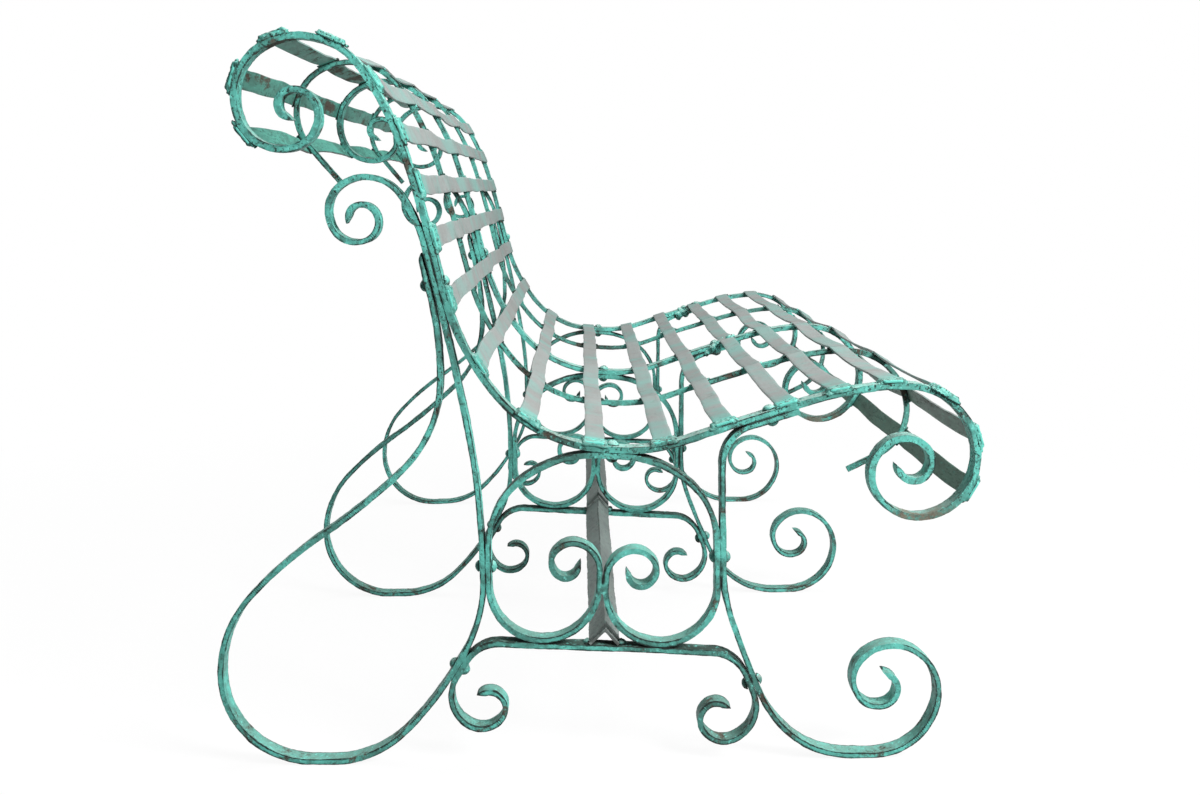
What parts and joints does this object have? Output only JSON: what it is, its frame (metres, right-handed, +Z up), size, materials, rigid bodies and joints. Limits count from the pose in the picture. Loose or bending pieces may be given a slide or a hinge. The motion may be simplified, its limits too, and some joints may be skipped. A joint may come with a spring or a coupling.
{
  "type": "garden bench",
  "caption": "Long garden bench of bent flat iron bar: scrolled frames with looped rear legs carry lengthwise straps that form a curved seat and back.",
  "frame": {"origin": "on the floor, under the middle of the bench's length and depth", "axes": "+X along the bench from the near to the far frame, +Y to the back, +Z up"},
  "size_m": [1.525, 0.9504, 0.903],
  "materials": {
    "frame_paint": "weathered turquoise paint, worn to dark iron on edges and in pits",
    "strap_paint": "faded grey paint with turquoise traces, rusty underneath",
    "angle_paint": "dull grey-green paint with rust",
    "rivet_paint": "weathered turquoise paint"
  },
  "bodies": {
    "root": {"profile_rail_near": "frame_paint", "profile_rail_middle": "frame_paint", "profile_rail_far": "frame_paint", "rear_leg_near": "frame_paint", "rear_leg_middle": "frame_paint", "rear_leg_far": "frame_paint", "front_leg_near": "frame_paint", "front_leg_middle": "frame_paint", "front_leg_far": "frame_paint", "ring_scroll_near": "frame_paint", "ring_scroll_middle": "frame_paint", "ring_scroll_far": "frame_paint", "lower_stretcher_near": "frame_paint", "lower_stretcher_middle": "frame_paint", "lower_stretcher_far": "frame_paint", "profile_rod_near": "frame_paint", "profile_rod_far": "frame_paint", "strap_01": "strap_paint", "strap_02": "strap_paint", "strap_03": "strap_paint", "strap_04": "strap_paint", "strap_05": "strap_paint", "strap_06": "strap_paint", "strap_07": "strap_paint", "strap_08": "strap_paint", "strap_09": "strap_paint", "strap_10": "strap_paint", "strap_11": "strap_paint", "strap_12": "strap_paint", "strap_13": "strap_paint", "strap_14": "strap_paint", "strap_15": "strap_paint", "strap_16": "strap_paint", "strap_17": "strap_paint", "strap_18": "strap_paint", "strap_19": "strap_paint", "strap_20": "strap_paint", "angle_iron_near": "angle_paint", "angle_iron_far": "angle_paint", "rivets_back": "rivet_paint", "rivets_ring_rear": "rivet_paint", "rivets_ring_front": "rivet_paint", "rivets_stretcher_rear": "rivet_paint", "rivets_stretcher_front": "rivet_paint", "rivets_seat_front": "rivet_paint", "rivets_seat_ring": "rivet_paint"}
  },
  "joints": []
}
